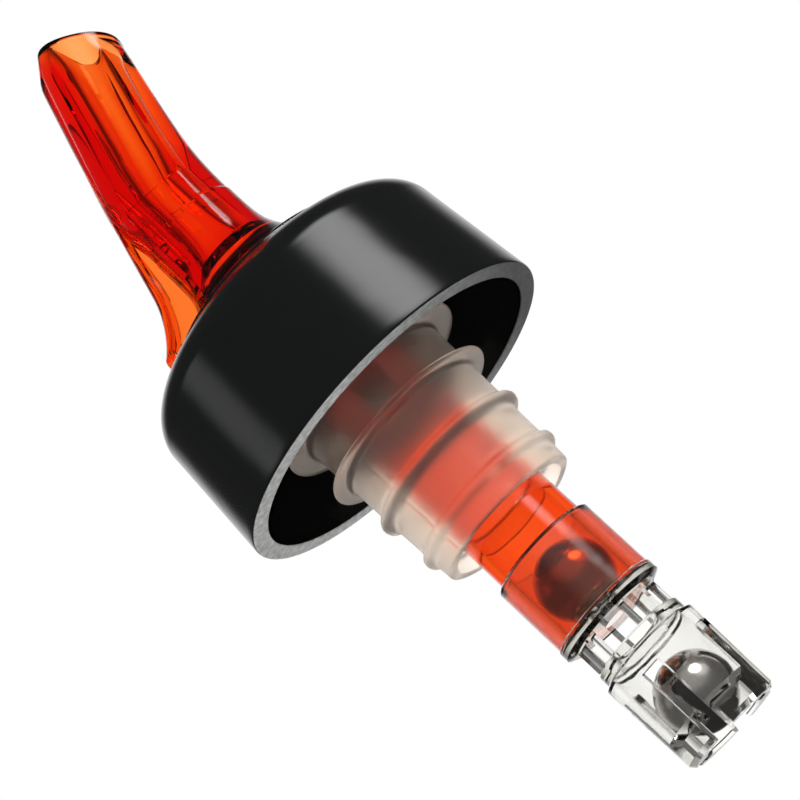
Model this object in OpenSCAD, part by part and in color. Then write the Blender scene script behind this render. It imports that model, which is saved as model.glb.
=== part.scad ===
// Measured liquor pourer: a clear coloured spout and metering tube in one moulding,
// a soft collar that hides the bottle's lip, a finned hollow cork, a clear end cap
// with a ball cage, and three steel balls. +Z runs up the cork's axis to the spout,
// and the spout leans towards +X. The origin is on the axis, at the middle of the
// cork's upper sealing bead.

/* [Balls] */
// Diameter of the timing ball and of the check ball
ball_d = 9.525; // [8.6:0.025:9.6]
// Diameter of the vent ball
vent_ball_d = 2.38; // [2:0.01:2.6]
// Radial clearance of the timing ball in the metering tube
ball_play = 0.19; // [0.12:0.01:0.25]
// Gap left between a ball and the stop it rests on
rest_gap = 0.04; // [0.02:0.01:0.1]

/* [Spout] */
// Height of the elbow above the origin
elbow_z = 49.5; // [48:0.5:54]
// Height of the tip above the elbow
spout_rise = 24; // [18:0.5:30]
// Lean of the spout from the cork's axis, in degrees
lean = 15.4; // [8:0.2:20]
// Depth of the spout from back to front at the elbow, measured level
spout_depth = 13.6; // [12.6:0.1:14.4]
// Depth of the spout at its tip, measured level
tip_depth = 11.3; // [10.6:0.1:12.6]
// Width between the flats at the tip
tip_w = 9.6; // [9:0.1:11]
// Slope of the mouth's face from level, in degrees
mouth_slope = 31.5; // [20:0.5:40]
// Distance down from the tip to the start of the bevel behind the lip
nose_l = 4.2; // [2:0.2:8]
// Lean of that bevel from the axis, in degrees
nose_lean = 40; // [24:1:42]
// Diameter of the spout's bore at the mouth
mouth_bore = 7; // [6:0.1:7.2]

/* [Stem] */
// Width of the stem between its flats
stem_w = 11; // [10.8:0.1:12]
// Distance from the axis to the stem's front
stem_front = 5.8; // [5.7:0.05:6.4]
// Distance from the axis to the stem's back, where the web starts
stem_back = 6.6; // [6.4:0.05:7]
// Diameter of the stem's bore above the ball seat
stem_bore = 6; // [5:0.1:6.2]
// Height of the top of the ball seat above the collar
seat_rise = 8.1; // [7:0.1:8.6]
// Thickness of the web behind the stem
web_t = 2.2; // [1.8:0.1:3]
// Thickness of the rim along the web's back edge
rim_t = 3.2; // [3:0.1:5]
// Width of that rim
rim_w = 1; // [0.6:0.1:1.6]
// Distance from the axis to the web's back where its curve starts
web_back = 9.7; // [9.2:0.1:10]
// Lean of the web's back above that curve, in degrees
web_lean = 15.5; // [12:0.5:18]
// Radius of the curve from the web's back out to the flange's edge
web_r = 15.8; // [14:0.2:20]
// Distance from the flange's edge in to the web's foot
foot_in = 0.3; // [0.2:0.05:1]
// Radius of the hollow curve from the flange up to the stem
skirt_r = 16.9; // [16:0.1:18]
// Height of that curve above the flange
skirt_h = 13.1; // [12.5:0.1:13.5]

/* [Flange and plug] */
// Diameter of the flange that rests on the collar
flange_d = 29.5; // [28:0.1:29.7]
// Thickness of the flange
flange_t = 1.5; // [1:0.1:2]
// Diameter of the plug that holds the collar and the cork
plug_d = 17.2; // [16.8:0.1:17.4]
// Height of the plug below the collar's top
plug_l = 7; // [6:0.1:9]
// Height by which the plug's barb stands out
barb = 0.3; // [0.1:0.05:0.35]

/* [Metering tube] */
// Outer diameter of the metering tube
tube_d = 12.3; // [12.2:0.1:12.6]
// Depth of the tube's open end below the origin
tube_end = 24.3; // [20:0.1:30]
// Number of inlet windows round the tube
windows = 2; // [1:1:3]
// Width of an inlet window
window_w = 4; // [2:0.1:5]
// Height of an inlet window
window_h = 9; // [5:0.5:12]
// Height of the middle of the inlet windows above the origin
window_z = 12; // [4:0.5:14]

/* [Vent] */
// Distance from the axis to the vent chamber
vent_x = 4.7; // [4.7:0.05:4.8]
// Diameter of the vent chamber
vent_d = 2.7; // [2.66:0.02:2.9]
// Height of the vent chamber
vent_h = 4.3; // [3.6:0.1:5]
// Diameter of the air passage below the chamber
vent_bore = 1.4; // [1:0.1:1.5]
// Length of the tube that closes the chamber
vent_tube_l = 9; // [5:0.5:10]
// Distance from the axis to the passage through the plug
passage_x = 7.2; // [7.1:0.05:7.3]

/* [Collar] */
// Outer diameter at the open rim
collar_d = 45; // [43.5:0.5:50]
// Outer diameter where the rounded shoulder starts
shoulder_d = 42.8; // [42:0.2:43.4]
// Overall height of the collar
collar_h = 19.9; // [18:0.1:22]
// Height of the rounded shoulder
shoulder_h = 5; // [4:0.1:7]
// Width of the rounded shoulder
shoulder_w = 6.5; // [5:0.1:6.8]
// Thickness of the collar's side wall
collar_t = 2.3; // [1.8:0.1:2.8]
// Thickness of the collar's top
collar_top_t = 2.5; // [2:0.1:3]
// Height of the collar's rim above the origin
rim_z = 8.5; // [7:0.1:10]

/* [Cork] */
// Outer radius of the cork's body under the collar's top
cork_top_r = 10.5; // [10.3:0.05:11]
// Outer radius of the cork's body at its open end
cork_end_r = 9.36; // [9:0.02:9.8]
// Depth of the open end below the origin
cork_end = 9.5; // [9:0.1:12]
// Thickness of the cork's wall
cork_t = 1.2; // [0.9:0.05:1.3]
// Depth of the recess in the collar's ceiling that the cork's top sits in
cork_seat = 0.5; // [0.3:0.1:1]
// Height of the solid ring at the cork's top
cork_ring_h = 3.5; // [2.6:0.1:3.6]
// Radius of the upper wide fin
fin_top_r = 13.05; // [12.6:0.05:14]
// Height of the upper wide fin above the origin
fin_top_z = 12.8; // [11:0.1:15]
// Radius of the lower wide fin
fin_low_r = 11.9; // [11.5:0.05:12.8]
// Height of the lower wide fin above the origin
fin_low_z = 6.5; // [5.5:0.1:8]
// Radius of the upper sealing bead
bead_top_r = 10.75; // [10.6:0.05:11.2]
// Radius of the lower sealing bead
bead_low_r = 10.26; // [10:0.02:10.5]
// Depth of the lower sealing bead below the origin
bead_low_z = 6.3; // [5:0.1:7.5]
// Thickness of a wide fin at its edge
fin_t = 0.7; // [0.5:0.05:1]
// Width of the cylindrical land round a sealing bead
bead_land = 1; // [0.6:0.05:1.4]

/* [End cap] */
// Outer diameter of the sleeve that grips the tube
sleeve_d = 13.9; // [13.7:0.1:14.1]
// Length of the sleeve down to the cap's floor
sleeve_l = 9.7; // [8:0.1:12]
// Diameter of the ring at the sleeve's lower end
cap_ring_d = 14.3; // [14.2:0.1:15]
// Outer diameter of the posts in the waist
waist_d = 12.1; // [11.8:0.1:12.6]
// Outer diameter at the top of the cage
cage_d = 13.2; // [12.9:0.1:14]
// Outer diameter at the cage's end
cage_end_d = 12.8; // [12.6:0.1:13]
// Diameter of the cage's bore
cage_bore = 10.6; // [10:0.1:10.8]
// Number of prongs in the cage, and of posts in the waist
prongs = 4; // [3:1:5]
// Width of the slot between two prongs
slot_w = 2.4; // [1.2:0.1:2.8]
// Turn of the cap about the axis, in degrees
cap_turn = -17.5; // [-45:0.5:45]
// Thickness of the cap's floor
floor_t = 1.4; // [1:0.1:2]
// Height of the open waist below the floor
waist_h = 3.2; // [2.6:0.1:6]
// Thickness of the plate over the cage
plate_t = 1.4; // [1.2:0.1:2.4]
// Depth of the step from the plate down to the cage's full diameter
cage_step = 1.6; // [0.6:0.1:2]
// Height of the closed ring above the slots
ring_h = 2.6; // [1:0.1:3]
// Diameter of the hole that the check ball closes
check_seat_d = 6.4; // [5:0.1:7]
// Diameter of the metering hole in the floor
meter_d = 3.2; // [1.6:0.1:4]
// Travel of the check ball in the cage
check_travel = 3.8; // [2:0.1:5]
// Inner diameter of the lips at the prongs' ends
lip_d = 7.8; // [7:0.1:8.2]
// Height of the lips
lip_h = 2.7; // [1.6:0.1:3]

/* [Hidden] */
$fn = 96;
eps = 0.01;
hull_fn = 32;
arc_steps = 12;
seat_play = 0.05;
soft_edge = 0.3;
cutter = 40;

ball_r = ball_d / 2;
vent_ball_r = vent_ball_d / 2;
tube_bore_r = ball_r + ball_play;
collar_z = rim_z + collar_h;
ceiling_z = collar_z - collar_top_t;
flange_z = collar_z + flange_t;
tip_z = elbow_z + spout_rise;

// Distance from a ball's centre to the plane of a round edge that it rests on
function edge_drop(r, edge_r) = sqrt(r * r - edge_r * edge_r);

// Points along an ellipse's arc between two angles
function arc(cx, cz, rx, rz, a0, a1, n = arc_steps) =
    [for (i = [0 : n]) let (a = a0 + (a1 - a0) * i / n) [cx + rx * cos(a), cz + rz * sin(a)]];

// Spout: level positions of its back and front above the elbow
function spout_mid(z) = -0.4 + (z - elbow_z) * tan(lean);
function spout_deep(z) = spout_depth + (tip_depth - spout_depth) * (z - elbow_z) / spout_rise;
function spout_back(z) = spout_mid(z) - spout_deep(z) / 2;
function spout_front(z) = spout_mid(z) + spout_deep(z) / 2;

// The bend's start, middle and end, and the bore's bend, as heights against the elbow
bend_low = elbow_z - 5;
bend_mid = elbow_z - 1;
bend_high = elbow_z + 3;
// The web's curve starts here, its top ends inside the spout and its foot inside the flange
web_leave = elbow_z - 9.4;
web_top = elbow_z + 4;
web_low = collar_z + flange_t / 2;
// Level distance from the tip back to where the mouth's face is set out
mouth_run = 9;

// Ball seat at the top of the metering bore, a cone that the ball touches all round
seat_z = collar_z + seat_rise;
seat_slope = 45;
seat_h = (tube_bore_r - stem_bore / 2) / tan(seat_slope);
timing_low = -tube_end + edge_drop(ball_r, meter_d / 2) + rest_gap;
cone_apex = seat_z + stem_bore / 2 / tan(seat_slope);
timing_high = cone_apex - ball_r / sin(seat_slope) - rest_gap;

// Vent chamber, its ball and its passage down to the cork's hollow
seat_to_vent = 2.1;
passage_rise = 5;
vent_z = seat_z + seat_to_vent;
vent_top = vent_z + vent_h;
vent_low = vent_z + edge_drop(vent_ball_r, vent_bore / 2) + rest_gap;
passage_z = collar_z + passage_rise;

// End cap, downwards from its floor
floor_low = -tube_end - floor_t;
plate_top = floor_low - waist_h;
plate_low = plate_top - plate_t;
check_high = plate_low - edge_drop(ball_r, check_seat_d / 2) - rest_gap;
check_low = check_high - check_travel;
lip_top = check_low - rest_gap - edge_drop(ball_r, lip_d / 2);
cap_low = lip_top - lip_h;

// Four rounded corners of the spout's section at one height
module spout_station(z, front, back, w) {
    front_r = min(4.2, w / 2 - 0.3);
    back_r = 2.3;
    for (s = [-1, 1]) {
        translate([front - front_r, s * (w / 2 - front_r), z])
            cylinder(r = front_r, h = eps, $fn = hull_fn);
        translate([back + back_r, s * (w / 2 - back_r), z])
            cylinder(r = back_r, h = eps, $fn = hull_fn);
    }
}

// Stem and spout as a chain of straight stretches through the elbow
module spout_shell() {
    top = tip_z + 3;
    stations = [
        [collar_z, stem_front, -stem_back, stem_w],
        [bend_low, stem_front, -stem_back, stem_w],
        [bend_mid, spout_front(elbow_z), -stem_back - 0.5, stem_w],
        [bend_high, spout_front(bend_high), spout_back(bend_high), stem_w],
        [top, spout_front(top), spout_back(top), tip_w]
    ];
    for (i = [0 : len(stations) - 2])
        hull()
            for (s = [stations[i], stations[i + 1]])
                spout_station(s[0], s[1], s[2], s[3]);
}

// Everything beyond the mouth's sloping face and behind the nose's bevel
module mouth_cut() {
    front_z = tip_z - mouth_run * tan(mouth_slope);
    translate([spout_front(front_z), 0, front_z])
        rotate([0, mouth_slope, 0])
            translate([-cutter / 2, -cutter / 2, 0])
                cube(cutter);
    translate([spout_back(tip_z - nose_l), 0, tip_z - nose_l])
        rotate([0, nose_lean, 0])
            translate([-cutter, -cutter / 2, 0])
                cube(cutter);
}

// Outline of the web behind the stem, drawn in by an inset along its back edge
function web_outline(inset) =
    let (cx = -web_back - web_r * cos(web_lean),
         cz = web_leave + web_r * sin(web_lean),
         foot_a = -acos((foot_in - flange_d / 2 - cx) / web_r),
         curve = arc(cx, cz, web_r + inset, web_r + inset, foot_a, -web_lean),
         foot = curve[0][0])
    concat([[0, web_low], [foot, web_low]], curve,
           [[spout_back(web_top) + inset, web_top], [0, web_top]]);

module upright(t) {
    rotate([90, 0, 0])
        linear_extrude(height = t, center = true)
            children();
}

// Web with a thicker rounded rim along its back edge
module web() {
    upright(web_t) polygon(web_outline(rim_w / 2));
    upright(rim_t)
        difference() {
            polygon(web_outline(0));
            polygon(web_outline(rim_w));
        }
}

// Flange, concave skirt up to the stem, plug with its barb, and the tube's outside
module turned_body() {
    skirt_top = flange_z + skirt_h;
    skirt_mid = stem_front - 0.75 + skirt_r;
    skirt = arc(skirt_mid, skirt_top, skirt_r, skirt_r, 180, 180 + asin(skirt_h / skirt_r));
    flange_r = flange_d / 2;
    plug_r = plug_d / 2;
    plug_low = collar_z - plug_l;
    rotate_extrude()
        polygon(concat(
            [[0, -tube_end], [tube_d / 2, -tube_end], [tube_d / 2, plug_low]],
            [[plug_r - 0.2, plug_low], [plug_r + barb, ceiling_z - cork_ring_h - 0.2]],
            [[plug_r, ceiling_z - cork_ring_h], [plug_r, collar_z]],
            arc(flange_r - soft_edge, collar_z + soft_edge, soft_edge, soft_edge, -90, 0, 4),
            arc(flange_r - 2 * soft_edge, flange_z - 2 * soft_edge, 2 * soft_edge, 2 * soft_edge, 0, 90, 6),
            [for (i = [arc_steps : -1 : 0]) skirt[i]],
            [[0, skirt_top]]
        ));
}

module bores() {
    // Metering bore, ball seat and stem bore
    rotate_extrude()
        polygon([
            [0, -tube_end - 1],
            [tube_bore_r, -tube_end - 1],
            [tube_bore_r, seat_z - seat_h],
            [stem_bore / 2, seat_z],
            [stem_bore / 2, bend_mid],
            [0, bend_mid]
        ]);
    // Spout bore from the elbow to the mouth
    translate([0, 0, bend_mid]) {
        sphere(d = stem_bore + 0.3);
        rotate([0, lean + 0.8, 0])
            cylinder(d1 = stem_bore, d2 = mouth_bore, h = spout_rise + 4);
    }
    // Inlet windows inside the cork
    for (i = [0 : windows - 1])
        rotate([0, 0, 90 + i * 360 / windows])
            translate([0, -window_w / 2, window_z - window_h / 2])
                cube([tube_d, window_w, window_h]);
}

module vent_cut() {
    // Chamber, open to the spout's back, where the vent tube goes in
    translate([-vent_x, 0, vent_z])
        cylinder(d = vent_d, h = spout_rise + 8);
    // Passage from the chamber down through the plug
    slant = atan((passage_x - vent_x) / (vent_z - passage_z));
    translate([-passage_x, 0, passage_z])
        rotate([0, slant, 0])
            cylinder(d = vent_bore, h = (vent_z - passage_z) / cos(slant) + 0.3);
    translate([-passage_x, 0, passage_z])
        sphere(d = vent_bore + 0.2);
    translate([-passage_x, 0, collar_z - plug_l - 1])
        cylinder(d = vent_bore, h = passage_z - collar_z + plug_l + 1);
}

module spout_body() {
    color([0.93, 0.24, 0.1, 0.7])
        difference() {
            union() {
                difference() {
                    spout_shell();
                    mouth_cut();
                }
                web();
                turned_body();
            }
            bores();
            vent_cut();
        }
}

module collar() {
    side_z = collar_z - shoulder_h;
    inner_top = shoulder_w - collar_t / 2;
    color([0.1, 0.1, 0.1])
        rotate_extrude()
            polygon(concat(
                [[collar_d / 2 - collar_t, rim_z], [collar_d / 2 - 0.4, rim_z], [collar_d / 2, rim_z + 0.4]],
                arc(shoulder_d / 2 - shoulder_w, side_z, shoulder_w, shoulder_h, 0, 90),
                [[plug_d / 2, collar_z], [plug_d / 2, ceiling_z + cork_seat]],
                [[cork_top_r + seat_play, ceiling_z + cork_seat], [cork_top_r + seat_play, ceiling_z]],
                arc(shoulder_d / 2 - collar_t - inner_top, ceiling_z - 3, inner_top, 3, 90, 0)
            ));
}

// Radius of the cork's plain body at a height
function cork_r(z) = cork_end_r + (cork_top_r - cork_end_r) * (z + cork_end) / (ceiling_z + cork_end);

// Flexible fin: thick at its root and thin at its edge, drawn as a turned ring
module fin(z, r) {
    root = cork_r(z) - 0.3;
    rotate_extrude()
        polygon(concat(
            [[root, z - fin_t / 2 - 0.5]],
            [[r - fin_t / 2, z - fin_t / 2]],
            arc(r - fin_t / 2, z, fin_t / 2, fin_t / 2, -90, 90, 6),
            [[root, z + fin_t / 2 + 0.5]]
        ));
}

// Sealing bead: a short cylindrical land with sloping flanks
module bead(z, r) {
    root = cork_r(z) - 0.3;
    rotate_extrude()
        polygon([
            [root, z - bead_land / 2 - 0.9],
            [r, z - bead_land / 2],
            [r, z + bead_land / 2],
            [root, z + bead_land / 2 + 0.9]
        ]);
}

module cork() {
    plug_r = plug_d / 2;
    ring_z = ceiling_z - cork_ring_h;
    color([0.9, 0.86, 0.8, 0.8]) {
        rotate_extrude()
            polygon([
                [cork_end_r - cork_t, -cork_end],
                [cork_end_r - 0.2, -cork_end],
                [cork_end_r, -cork_end + 0.3],
                [cork_top_r, ceiling_z],
                [cork_top_r, ceiling_z + cork_seat],
                [plug_r, ceiling_z + cork_seat],
                [plug_r, ring_z],
                [cork_r(ring_z) - cork_t, ring_z]
            ]);
        fin(fin_top_z, fin_top_r);
        fin(fin_low_z, fin_low_r);
        bead(0, bead_top_r);
        bead(-bead_low_z, bead_low_r);
    }
}

// Wall of the cap between two heights, from its outer profile in to a bore
module cap_turned() {
    ring_r = cap_ring_d / 2;
    rotate_extrude()
        polygon([
            [tube_d / 2, -tube_end + sleeve_l - 0.3],
            [tube_d / 2 + 0.3, -tube_end + sleeve_l],
            [sleeve_d / 2 - 0.2, -tube_end + sleeve_l],
            [sleeve_d / 2, -tube_end + sleeve_l - 0.2],
            [sleeve_d / 2, -tube_end + 0.4],
            [ring_r, -tube_end + 0.2],
            [ring_r, floor_low + 0.5],
            [waist_d / 2, floor_low],
            [meter_d / 2, floor_low],
            [meter_d / 2, -tube_end],
            [tube_d / 2, -tube_end]
        ]);
    rotate_extrude()
        polygon([
            [check_seat_d / 2, plate_top],
            [waist_d / 2 - 0.2, plate_top],
            [waist_d / 2, plate_top - 0.2],
            [waist_d / 2, plate_top - cage_step],
            [cage_d / 2, plate_top - cage_step - 0.3],
            [cage_end_d / 2, cap_low + 0.6],
            [cage_end_d / 2 - 0.5, cap_low],
            [lip_d / 2 + 0.3, cap_low],
            [lip_d / 2, cap_low + 0.3],
            [lip_d / 2, lip_top],
            [cage_bore / 2, lip_top + 1],
            [cage_bore / 2, plate_low],
            [check_seat_d / 2, plate_low]
        ]);
}

module end_cap() {
    post_in = waist_d / 2 - 1.6;
    post_w = 3;
    color([0.93, 0.94, 0.95, 0.6])
        rotate([0, 0, cap_turn]) {
            difference() {
                cap_turned();
                for (i = [0 : prongs - 1])
                    rotate([0, 0, i * 360 / prongs])
                        translate([check_seat_d / 2 + 0.5, -slot_w / 2, cap_low - 1])
                            cube([cage_d, slot_w, plate_low - ring_h - cap_low + 1]);
            }
            intersection() {
                for (i = [0 : prongs - 1])
                    rotate([0, 0, (i + 0.5) * 360 / prongs])
                        translate([0, -post_w / 2, plate_top - eps])
                            cube([cage_d, post_w, waist_h + 2 * eps]);
                rotate_extrude()
                    translate([post_in, plate_top - eps])
                        square([1.6, waist_h + 2 * eps]);
            }
        }
}

module timing_ball() {
    color([0.75, 0.76, 0.78])
        translate([0, 0, timing_low])
            sphere(d = ball_d);
}

module check_ball() {
    color([0.75, 0.76, 0.78])
        translate([0, 0, check_low])
            sphere(d = ball_d);
}

module vent_ball() {
    color([0.75, 0.76, 0.78])
        translate([-vent_x, 0, vent_low])
            sphere(d = vent_ball_d);
}

// Short tube with a notch in its lower end, so that the ball can't shut it
module vent_tube() {
    color([0.93, 0.24, 0.1, 0.7])
        translate([-vent_x, 0, vent_top])
            difference() {
                cylinder(d = vent_d, h = vent_tube_l);
                translate([0, 0, -1])
                    cylinder(d = vent_bore, h = vent_tube_l + 2);
                translate([-vent_d, -0.4, -1])
                    cube([2 * vent_d, 0.8, 2]);
            }
}

spout_body();
collar();
cork();
end_cap();
timing_ball();
check_ball();
vent_ball();
vent_tube();
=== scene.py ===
import bpy, bmesh, math
import numpy as np
from mathutils import Matrix, Vector


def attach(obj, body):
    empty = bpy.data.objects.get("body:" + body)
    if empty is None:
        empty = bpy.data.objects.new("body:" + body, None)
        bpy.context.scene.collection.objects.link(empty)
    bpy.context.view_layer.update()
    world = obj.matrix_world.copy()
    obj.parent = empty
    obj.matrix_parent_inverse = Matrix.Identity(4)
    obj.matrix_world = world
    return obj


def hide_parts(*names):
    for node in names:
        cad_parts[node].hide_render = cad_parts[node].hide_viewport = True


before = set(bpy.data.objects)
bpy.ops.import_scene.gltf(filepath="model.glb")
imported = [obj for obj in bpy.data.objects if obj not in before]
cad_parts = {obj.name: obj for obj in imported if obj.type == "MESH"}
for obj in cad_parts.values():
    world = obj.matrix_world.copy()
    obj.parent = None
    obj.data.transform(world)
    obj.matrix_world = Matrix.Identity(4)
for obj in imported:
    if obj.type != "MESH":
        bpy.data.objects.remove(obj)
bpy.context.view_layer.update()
print("frame loaded")


def linearColour(hexCode):
    # an sRGB hex code in linear light, with an alpha of 1: a channel up to 0.04045 is divided by
    # 12.92, and a brighter one is the 2.4th power of (channel + 0.055) / 1.055
    channels = [int(hexCode[i:i + 2], 16) / 255 for i in (1, 3, 5)]
    return [c / 12.92 if c <= 0.04045 else ((c + 0.055) / 1.055) ** 2.4 for c in channels] + [1]


def addNode(tree, kind, settings=None, links=None):
    # one node with its settings and links: a name of the node's own is set as an attribute, and
    # any other name or number is one of its sockets
    node = tree.nodes.new(kind)
    for name, value in (settings or {}).items():
        if isinstance(name, str) and hasattr(node, name):
            setattr(node, name, value)
        else:
            node.inputs[name].default_value = value
    for name, source in (links or {}).items():
        tree.links.new(source, node.inputs[name])
    return node


def newMaterial(name):
    # an empty material, given back with its node tree
    made = bpy.data.materials.new(name)
    made.use_nodes = True
    made.node_tree.nodes.clear()
    return made, made.node_tree


# camera: a long lens close to the pourer, looking up at it from below the collar's rim
view = {
    "lensMm": 99.7,
    "sensorMm": 36,
    "imageSide": 800,            # pixels
    "rimDistanceMm": 253.3,      # from the lens to the middle of the collar's rim, along the view
    "rimPixel": (397.9, 414.6),  # where that point falls in the image
    "rimHeightMm": 8.5,
    "axisTurn": 42.85,           # degrees that the cork's axis is turned in the image
    "axisTilt": 17.27,           # degrees that the cork's end leans towards the lens
    "leanTurn": 5.0,             # degrees that the spout's plane is turned about the axis
}


def makeCamera():
    # the three angles give the object's axes in the camera's frame, where x points right, y down
    # and z away, and the lens stands where the middle of the rim falls on its pixel
    turn, tilt, roll = (math.radians(view[k]) for k in ("axisTurn", "axisTilt", "leanTurn"))
    level = math.cos(tilt)
    up = Vector((-level * math.cos(turn), -level * math.sin(turn), math.sin(tilt)))
    side = Vector((math.sin(turn), -math.cos(turn), 0))
    depth = up.cross(side)
    front = math.cos(roll) * side + math.sin(roll) * depth
    left = up.cross(front)
    focal = view["lensMm"] / view["sensorMm"] * view["imageSide"]
    rim = Vector([(pixel - view["imageSide"] / 2) / focal for pixel in view["rimPixel"]] + [1])
    rim = rim * view["rimDistanceMm"] / 1000
    axes = [front, left, up]
    place = Vector([-rim.dot(a) for a in axes]) + Vector((0, 0, view["rimHeightMm"] / 1000))
    rows = [[a[0], -a[1], -a[2]] for a in axes]
    data = bpy.data.cameras.new("camera")
    data.lens, data.sensor_width = view["lensMm"], view["sensorMm"]
    data.clip_start, data.clip_end = 0.01, 20
    camera = bpy.data.objects.new("camera", data)
    camera.matrix_world = Matrix.Translation(place) @ Matrix(rows).to_4x4()
    bpy.context.scene.collection.objects.link(camera)
    bpy.context.scene.camera = camera


makeCamera()
print("camera made")


def noiseHeights(tree, widths, stretch=(1, 1, 1)):
    # noise from 0 to 1 on the object's own metres, one for each width of its humps in millimetres:
    # the scale is 1000 over the width, and stretch multiplies it along each axis
    where = addNode(tree, "ShaderNodeTexCoord").outputs["Object"]
    across = addNode(tree, "ShaderNodeMapping", {"Scale": stretch}, {"Vector": where}).outputs[0]
    return [addNode(tree, "ShaderNodeTexNoise", {"Scale": 1000 / width, "Detail": 2.0},
                    {"Vector": across}).outputs[0] for width in widths]


def heightShare(tree, lowMm, highMm):
    # nought below the low height and one above the high one, with a smooth step between them
    where = addNode(tree, "ShaderNodeTexCoord").outputs["Object"]
    height = addNode(tree, "ShaderNodeSeparateXYZ", links={0: where}).outputs["Z"]
    return addNode(tree, "ShaderNodeMapRange", {
        "interpolation_type": "SMOOTHSTEP", "From Min": lowMm / 1000, "From Max": highMm / 1000},
        {"Value": height}).outputs[0]


def redStyrene():
    # moulded clear styrene with a red dye: each metre takes away the density times the colour's
    # shortfall from white, so thin walls look orange and thick edges crimson; the flow of the
    # melt left faint long waves
    made, tree = newMaterial("red clear styrene")
    wave, = noiseHeights(tree, [6.25], (1, 1, 0.35))
    bump = addNode(tree, "ShaderNodeBump", {"Strength": 0.12, "Distance": 0.0006}, {"Height": wave})
    # the tube is dyed a little deeper; inside the cork it is painted a deeper red and made partly
    # matt, a painted glow that stands in for the red light scattered there and shows through the
    # cork
    aboveTube, aboveEnd = heightShare(tree, 21.0, 30.0), heightShare(tree, 2.0, 16.0)
    # painted glow: the tube's colour turns from pale pink to deep red between 2 mm and 16 mm
    tube = addNode(tree, "ShaderNodeMix", {
        "data_type": "RGBA", 6: linearColour("#ffd1c8"), 7: linearColour("#ff695d")},
        {0: aboveEnd}).outputs[2]
    skin = addNode(tree, "ShaderNodeMix", {"data_type": "RGBA", 7: linearColour("#fffdf9")},
                   {0: aboveTube, 6: tube}).outputs[2]
    # painted glow: the matt share rises from 2 mm to 16 mm and falls again from 21 mm to 30 mm
    paintedGlowShare = addNode(tree, "ShaderNodeMath", {"operation": "SUBTRACT"}, {0: aboveEnd, 1: aboveTube})
    clarity = addNode(tree, "ShaderNodeMapRange", {"To Min": 1.0, "To Max": 0.4},
                      {"Value": paintedGlowShare.outputs[0]})
    body = addNode(tree, "ShaderNodeBsdfPrincipled", {"IOR": 1.57, "Roughness": 0.02}, {
        "Base Color": skin, "Transmission Weight": clarity.outputs[0], "Normal": bump.outputs[0]})
    depth = addNode(tree, "ShaderNodeVolumeAbsorption", {
        "Color": linearColour("#fbc547"), "Density": 1600})
    addNode(tree, "ShaderNodeOutputMaterial", links={
        "Surface": body.outputs[0], "Volume": depth.outputs[0]})
    return made


def clearStyrene():
    # moulded natural clear styrene: a slightly hazy skin with small ripples from the mould, and
    # a faint grey in the depth
    made, tree = newMaterial("clear styrene")
    fine, wide = noiseHeights(tree, [1.11, 3.85])
    bump = addNode(tree, "ShaderNodeBump", {"Strength": 0.18, "Distance": 0.0003}, {"Height": wide})
    haze = addNode(tree, "ShaderNodeMapRange", {"To Min": 0.03, "To Max": 0.09}, {"Value": fine})
    body = addNode(tree, "ShaderNodeBsdfPrincipled", {
        "Base Color": linearColour("#fafaf9"), "Transmission Weight": 1.0, "IOR": 1.5},
        {"Roughness": haze.outputs[0], "Normal": bump.outputs[0]})
    depth = addNode(tree, "ShaderNodeVolumeAbsorption", {
        "Color": linearColour("#ebeae6"), "Density": 260})
    addNode(tree, "ShaderNodeOutputMaterial", links={
        "Surface": body.outputs[0], "Volume": depth.outputs[0]})
    return made


def softVinyl():
    # moulded soft PVC: deep black with a soft gloss over faint waves, and a cut rim that is grey
    # and rough, with painted shade that darkens the rim towards the front
    made, tree = newMaterial("black soft vinyl")
    wave, grain = noiseHeights(tree, [9.1, 0.667])
    bump = addNode(tree, "ShaderNodeBump", {"Strength": 0.1, "Distance": 0.001}, {"Height": wave})
    aboveRim = heightShare(tree, 8.56, 8.66)
    cut = addNode(tree, "ShaderNodeMix", {
        "data_type": "RGBA", 6: linearColour("#5a5c5a"), 7: linearColour("#c8cac8")},
        {0: grain}).outputs[2]
    # painted shade: the cut rim is mixed towards near black further forward in x, by up to 0.85
    where = addNode(tree, "ShaderNodeTexCoord").outputs["Object"]
    forward = addNode(tree, "ShaderNodeSeparateXYZ", links={0: where}).outputs["X"]
    paintedShadeShare = addNode(tree, "ShaderNodeMapRange", {
        "From Min": -0.004, "From Max": 0.02, "To Max": 0.85}, {"Value": forward}).outputs[0]
    rim = addNode(tree, "ShaderNodeMix", {"data_type": "RGBA", 7: linearColour("#2a2c2b")},
                  {0: paintedShadeShare, 6: cut}).outputs[2]
    skin = addNode(tree, "ShaderNodeMix", {"data_type": "RGBA", 7: linearColour("#111212")},
                   {0: aboveRim, 6: rim}).outputs[2]
    rough = addNode(tree, "ShaderNodeMapRange", {"To Min": 0.6, "To Max": 0.17},
                    {"Value": aboveRim})
    body = addNode(tree, "ShaderNodeBsdfPrincipled", {"IOR": 1.5}, {
        "Base Color": skin, "Roughness": rough.outputs[0], "Normal": bump.outputs[0]})
    addNode(tree, "ShaderNodeOutputMaterial", links={"Surface": body.outputs[0]})
    return made


def frostedCork():
    # moulded natural polyethylene: cloudy, so that what lies behind it shows as a soft blur
    made, tree = newMaterial("natural polyethylene")
    fine, = noiseHeights(tree, [2.0])
    bump = addNode(tree, "ShaderNodeBump", {"Strength": 0.08, "Distance": 0.0002}, {"Height": fine})
    body = addNode(tree, "ShaderNodeBsdfPrincipled", {
        "Base Color": linearColour("#fff1e4"), "Transmission Weight": 0.96, "Roughness": 0.4,
        "IOR": 1.3}, {"Normal": bump.outputs[0]})
    addNode(tree, "ShaderNodeOutputMaterial", links={"Surface": body.outputs[0]})
    return made


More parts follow.
